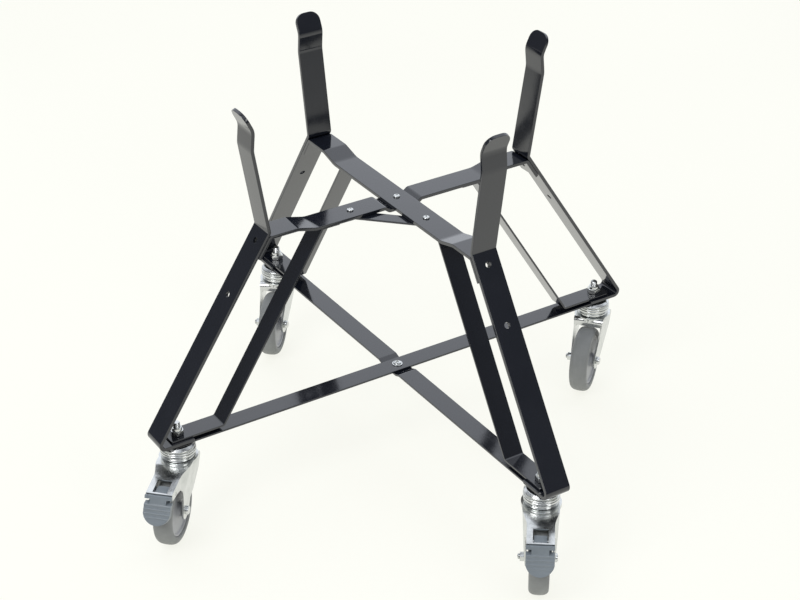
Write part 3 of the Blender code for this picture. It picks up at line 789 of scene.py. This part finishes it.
def tread_trim():
    """Everything past a round outline at the tread's free end."""
    base = at(TREAD_TOP[0], 0.0, TREAD_TOP[1]) @ turn(TREAD_SLOPE, "Y")
    outer = box("trim", (0.0, -40.0, -25.0), (60.0, 40.0, 25.0), base)
    disc = cylinder("disc", 2 * PEDAL_HALF + 0.8, 60.0, base, 96)
    boolean(outer, disc)
    return outer, disc


def ribbed_line(start, end, places, height=0.75, half=1.5):
    """Side view of a tread with low rounded ribs across it, between two points."""
    a = Vector(start)
    along = (Vector(end) - a).normalized()
    out = Vector((-along.y, along.x))
    points = [start]
    for place in places:
        for step, rise in ((-1.0, 0.0), (-0.5, 0.7), (0.0, 1.0), (0.5, 0.7), (1.0, 0.0)):
            p = a + along * (place + step * half) + out * (rise * height)
            points.append((p.x, p.y))
    return points + [end]


def pedal(tag, place):
    name = "brake_pedal_" + tag
    tread = ribbed_line((92.5, 97.5), (110.8, 68.8), (4.0, 9.6, 15.2, 20.8))
    side = [(63.0, 104.0), (84.5, 103.4), (86.2, 105.4), (89.0, 105.4)] + tread
    side += [(108.5, 66.0), (105.5, 65.6), (93.0, 84.0), (88.0, 92.5), (73.0, 95.0), (63.0, 97.8)]
    obj = work_object(name, mesh_from(prism(side, lambda x, z: PEDAL_HALF), name))
    cutters = []
    for s in (1.0, -1.0):
        cutters.append(box("side", (40.0, s * 15.0, 85.0), (86.0, s * 30.0, 110.0)))
        cutters.append(box("notch", (80.0, s * 11.5, 95.4), (110.0, s * 30.0, 101.6)))
        cutters.append(box("groove", (60.0, s * 8.6, 99.5), (81.0, s * 11.2, 110.0)))
    outer, disc = tread_trim()
    cutters += [outer, cylinder("pin", PIN_D + 2 * GAP, 80.0, across(*PIVOT))]
    for cutter in cutters:
        boolean(obj, cutter)
    bevel(obj, 0.8, 3, 40.0)
    settle(name + "_moulded", obj, cutters + [disc], place, "pedal_" + tag, PEDAL, [name])


def pedal_pin(tag, place):
    half = HOOD_HALF - 0.4
    line = [(0.0, half), (PIN_D / 2 - 0.4, half), (PIN_D / 2, half - 0.4),
            (PIN_D / 2, 0.4 - half), (PIN_D / 2 - 0.4, -half), (0.0, -half)]
    obj = turned_object("brake_pin_" + tag, line, 32, across(*PIVOT))
    settle("brake_pin_" + tag + "_fine", obj, [], place, "swivel_" + tag, HARDWARE,
           ["brake_pin_" + tag])


def caster(tag):
    place = caster_matrix(tag)
    stem(tag, place)
    nut_place = place @ at(0, 0, NUT_Z)
    hex_nut("stem_nut_" + tag, LOCK_NUT, STEM_D + GAP, nut_place, "frame", COLLAR)
    race(tag, place)
    if tag in BRAKED:
        braked_fork(tag, place)
        pedal(tag, place)
        pedal_pin(tag, place)
    else:
        plain_fork(tag, place)
    axle(tag, place)
    hub(tag, place)
    tyre(tag, place)


def build_object():
    for tag, angle in CORNERS.items():
        outer_leg(tag, angle)
        inner_leg(tag, angle)
        caster(tag)
    top_bar("top_bar_over", CORNERS["fr"], 0.0, 1.0)
    top_bar("top_bar_under", CORNERS["br"], WIDE[1] + GAP, -1.0)
    bottom_bar("bottom_bar_over", CORNERS["br"], 0.0)
    bottom_bar("bottom_bar_under", CORNERS["fr"], NARROW[1] + GAP)
    lock_strap()
    frame_hardware()


# ---- camera, floor and light ----
CAMERA_TURN = 282.75            # bearing of the camera from the stand's centre, degrees
CAMERA_RISE = 30.46             # above the floor, degrees
CAMERA_DISTANCE = 2.7688
AIM_HEIGHT = 0.2439
CAMERA_ROLL = -0.26             # degrees
CAMERA_SHIFT = (0.0037, 0.0016)
LENS = 87.6
FLOOR_SIZE = 9000.0             # from the middle to an edge, millimetres
FLOOR_FADE = (1.4, 3.2)         # metres out to the sides, over which the floor dims
FLOOR_GLOW = (0.83, 0.40)       # its own light before and after that
FLOOR_TINT = (1.0, 1.0, 0.925, 1.0)
# soft lights of the room: direction, span of the cosine to it, strength before and after
SCREEN = ((-0.1, 0.76, 0.64), (0.38, 0.78), (0.165, 1.28))
BANK = ((0.1, -0.62, 0.78), (0.84, 0.97), (0.0, 0.8))
ROOM_TINT = (0.93, 0.97, 1.04, 1.0)
LIGHT_TARGET = (0.0, 0.0, 0.2)


def set_camera():
    data = bpy.data.cameras.new("camera")
    cam = bpy.data.objects.new("camera", data)
    bpy.context.scene.collection.objects.link(cam)
    a, e = math.radians(CAMERA_TURN), math.radians(CAMERA_RISE)
    back = Vector((math.cos(a) * math.cos(e), math.sin(a) * math.cos(e), math.sin(e)))
    cam.location = CENTRE + Vector((0, 0, AIM_HEIGHT)) + back * CAMERA_DISTANCE
    cam.rotation_mode = "QUATERNION"
    roll = Matrix.Rotation(math.radians(CAMERA_ROLL), 4, "Z")
    facing = (-back).to_track_quat("-Z", "Y").to_matrix().to_4x4()
    cam.rotation_quaternion = (facing @ roll).to_quaternion()
    data.lens = LENS
    data.sensor_width = 36.0
    data.shift_x, data.shift_y = CAMERA_SHIFT
    data.clip_end = 60.0
    bpy.context.scene.camera = cam


def floor_material():
    """Pale studio floor: a bright, even sweep that grows dimmer far out at the sides."""
    n = Nodes("studio_floor")
    n.link(n.ramp(n.noise(0.8, 2.0), [(0.3, (0.13, 0.13, 0.125)), (0.7, (0.15, 0.15, 0.145))]),
           "Base Color")
    n.set(Roughness=0.9)
    split = n.tree.nodes.new("ShaderNodeSeparateXYZ")
    n.tree.links.new(n.place, split.inputs["Vector"])
    side = n.tree.nodes.new("ShaderNodeMath")
    side.operation = "ABSOLUTE"
    n.tree.links.new(split.outputs["X"], side.inputs[0])
    fall = map_range(n.tree, side.outputs["Value"], FLOOR_FADE, FLOOR_GLOW)
    n.shader.inputs["Emission Color"].default_value = FLOOR_TINT
    n.tree.links.new(fall, n.shader.inputs["Emission Strength"])
    return n.mat


def set_floor():
    bm = bmesh.new()
    bmesh.ops.create_grid(bm, x_segments=8, y_segments=8, size=FLOOR_SIZE)
    floor = work_object("studio_floor", mesh_from(bm, "studio_floor"))
    floor.data.materials.append(floor_material())


def area_light(name, place, width, height, watts):
    """A soft rectangular light aimed at the stand."""
    data = bpy.data.lights.new(name, "AREA")
    data.shape = "RECTANGLE"
    data.size = width
    data.size_y = height
    data.energy = watts
    light = bpy.data.objects.new(name, data)
    bpy.context.scene.collection.objects.link(light)
    light.location = place
    light.rotation_mode = "QUATERNION"
    aim = Vector(LIGHT_TARGET) - Vector(place)
    light.rotation_quaternion = aim.to_track_quat("-Z", "Y")


def map_range(tree, source, span, values):
    node = tree.nodes.new("ShaderNodeMapRange")
    node.interpolation_type = "SMOOTHSTEP"
    node.inputs["From Min"].default_value = span[0]
    node.inputs["From Max"].default_value = span[1]
    node.inputs["To Min"].default_value = values[0]
    node.inputs["To Max"].default_value = values[1]
    tree.links.new(source, node.inputs["Value"])
    return node.outputs["Result"]


def glow(tree, source, direction, span, values):
    """Light that grows towards one direction in the room, over a span of the cosine to it."""
    toward = tree.nodes.new("ShaderNodeVectorMath")
    toward.operation = "DOT_PRODUCT"
    tree.links.new(source, toward.inputs[0])
    toward.inputs[1].default_value = Vector(direction).normalized()
    return map_range(tree, toward.outputs["Value"], span, values)


def set_world():
    """A dim room with a large soft screen above and behind, and a small one above in front."""
    world = bpy.data.worlds.new("studio")
    bpy.context.scene.world = world
    world.use_nodes = True
    tree = world.node_tree
    ground = tree.nodes["Background"]
    coords = tree.nodes.new("ShaderNodeTexCoord")
    screen = glow(tree, coords.outputs["Generated"], *SCREEN)
    bank = glow(tree, coords.outputs["Generated"], *BANK)
    total = tree.nodes.new("ShaderNodeMath")
    tree.links.new(screen, total.inputs[0])
    tree.links.new(bank, total.inputs[1])
    tree.links.new(total.outputs["Value"], ground.inputs["Strength"])
    ground.inputs["Color"].default_value = ROOM_TINT


def set_light():
    set_world()
    area_light("key", (-1.4, -2.4, 3.0), 1.8, 1.8, 60.0)
    area_light("fill", (2.6, -1.9, 2.2), 1.4, 1.6, 22.0)
    bpy.context.scene.view_settings.view_transform = "Standard"


build_object()
set_camera()
set_floor()
set_light()
